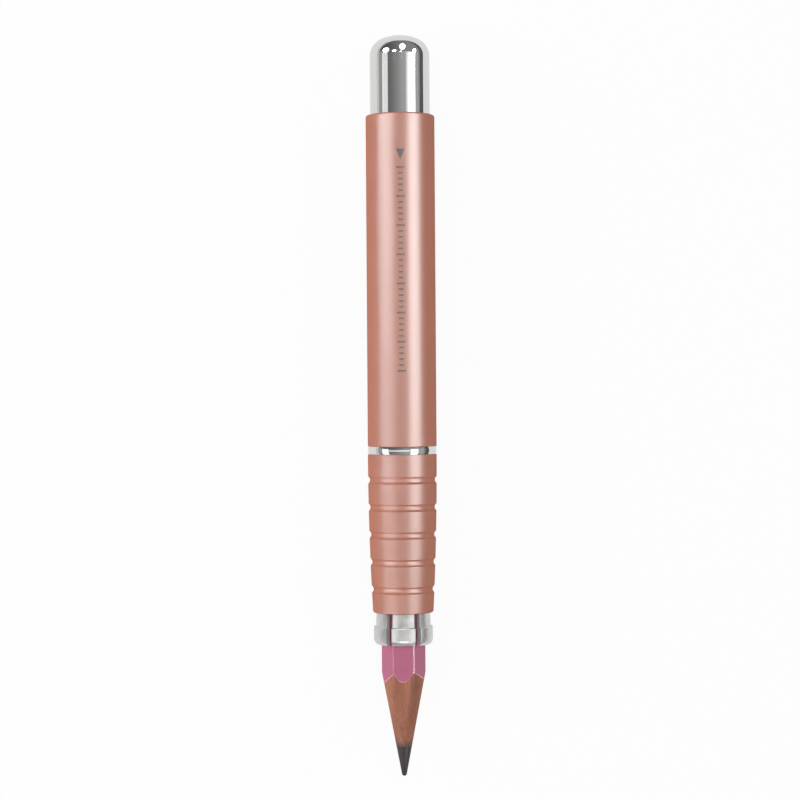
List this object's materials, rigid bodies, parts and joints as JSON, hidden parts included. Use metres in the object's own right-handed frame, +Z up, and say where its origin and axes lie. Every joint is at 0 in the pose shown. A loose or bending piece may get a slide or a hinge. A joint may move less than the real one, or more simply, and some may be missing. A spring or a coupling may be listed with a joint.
{
  "type": "pencil extender",
  "caption": "Metal pencil extender with a sprung push cap, a ribbed tapering grip and a slotted collet that clamps a short hexagonal pencil.",
  "frame": {"origin": "on the floor under the middle of the whole length, as the holder lies on its side", "axes": "+X along the holder from the pencil's point to the push cap, +Z up from the floor"},
  "size_m": [0.129, 0.012, 0.012],
  "materials": {
    "rose_aluminium": "satin rose anodising",
    "chrome": "polished plate",
    "collet_plate": "satin nickel plate on brass",
    "brass": "turned",
    "tube_steel": "drawn",
    "spring_steel": "bright drawn wire",
    "core_plastic": "moulded",
    "pencil_lacquer": "gloss pink lacquer",
    "cedar": "sharpened cedar",
    "graphite": "ground graphite"
  },
  "bodies": {
    "barrel": {"upper_barrel": "rose_aluminium", "centre_band": "chrome", "lower_grip": "rose_aluminium", "joint_sleeve": "brass", "return_spring": "spring_steel"},
    "plunger": {"push_cap": "chrome", "cap_core": "core_plastic", "pencil_tube": "tube_steel", "collet_tail": "collet_plate", "collet_coupling": "brass"},
    "pencil": {"pencil_lacquer": "pencil_lacquer", "pencil_upper_slat": "cedar", "pencil_lower_slat": "cedar", "pencil_lead": "graphite"},
    "jaw_1": {"collet_jaw_1": "collet_plate"},
    "jaw_2": {"collet_jaw_2": "collet_plate"},
    "jaw_3": {"collet_jaw_3": "collet_plate"},
    "jaw_4": {"collet_jaw_4": "collet_plate"},
    "jaw_5": {"collet_jaw_5": "collet_plate"},
    "jaw_6": {"collet_jaw_6": "collet_plate"}
  },
  "joints": [
    {"name": "plunger_push", "type": "slide", "parent": "barrel", "child": "plunger", "axis": [-1, 0, 0], "range_m": [0, 0.005], "stiffness_N_per_m": 200, "springref_m": -0.02, "deforming": ["return_spring"]},
    {"name": "pencil_slide", "type": "slide", "parent": "plunger", "child": "pencil", "axis": [-1, 0, 0], "range_m": [-0.048, 0.05]},
    {"name": "jaw_1_flex", "type": "hinge", "parent": "plunger", "child": "jaw_1", "pos_m": [-0.02289, 0, 0.00213], "axis": [0, -1, 0], "range_deg": [0, 1.5]},
    {"name": "jaw_2_flex", "type": "hinge", "parent": "plunger", "child": "jaw_2", "pos_m": [-0.02289, 0.00336, 0.00406], "axis": [0, -0.5, -0.866], "range_deg": [0, 1.5]},
    {"name": "jaw_3_flex", "type": "hinge", "parent": "plunger", "child": "jaw_3", "pos_m": [-0.02289, 0.00336, 0.00794], "axis": [0, 0.5, -0.866], "range_deg": [0, 1.5]},
    {"name": "jaw_4_flex", "type": "hinge", "parent": "plunger", "child": "jaw_4", "pos_m": [-0.02289, 0, 0.00988], "axis": [0, 1, 0], "range_deg": [0, 1.5]},
    {"name": "jaw_5_flex", "type": "hinge", "parent": "plunger", "child": "jaw_5", "pos_m": [-0.02289, -0.00336, 0.00794], "axis": [0, 0.5, 0.866], "range_deg": [0, 1.5]},
    {"name": "jaw_6_flex", "type": "hinge", "parent": "plunger", "child": "jaw_6", "pos_m": [-0.02289, -0.00336, 0.00406], "axis": [0, -0.5, 0.866], "range_deg": [0, 1.5]}
  ],
  "couplings": [
    {"joint": "jaw_1_flex", "follows": "plunger_push", "rad_per_m": 5.2359},
    {"joint": "jaw_2_flex", "follows": "plunger_push", "rad_per_m": 5.2359},
    {"joint": "jaw_3_flex", "follows": "plunger_push", "rad_per_m": 5.2359},
    {"joint": "jaw_4_flex", "follows": "plunger_push", "rad_per_m": 5.2359},
    {"joint": "jaw_5_flex", "follows": "plunger_push", "rad_per_m": 5.2359},
    {"joint": "jaw_6_flex", "follows": "plunger_push", "rad_per_m": 5.2359}
  ]
}
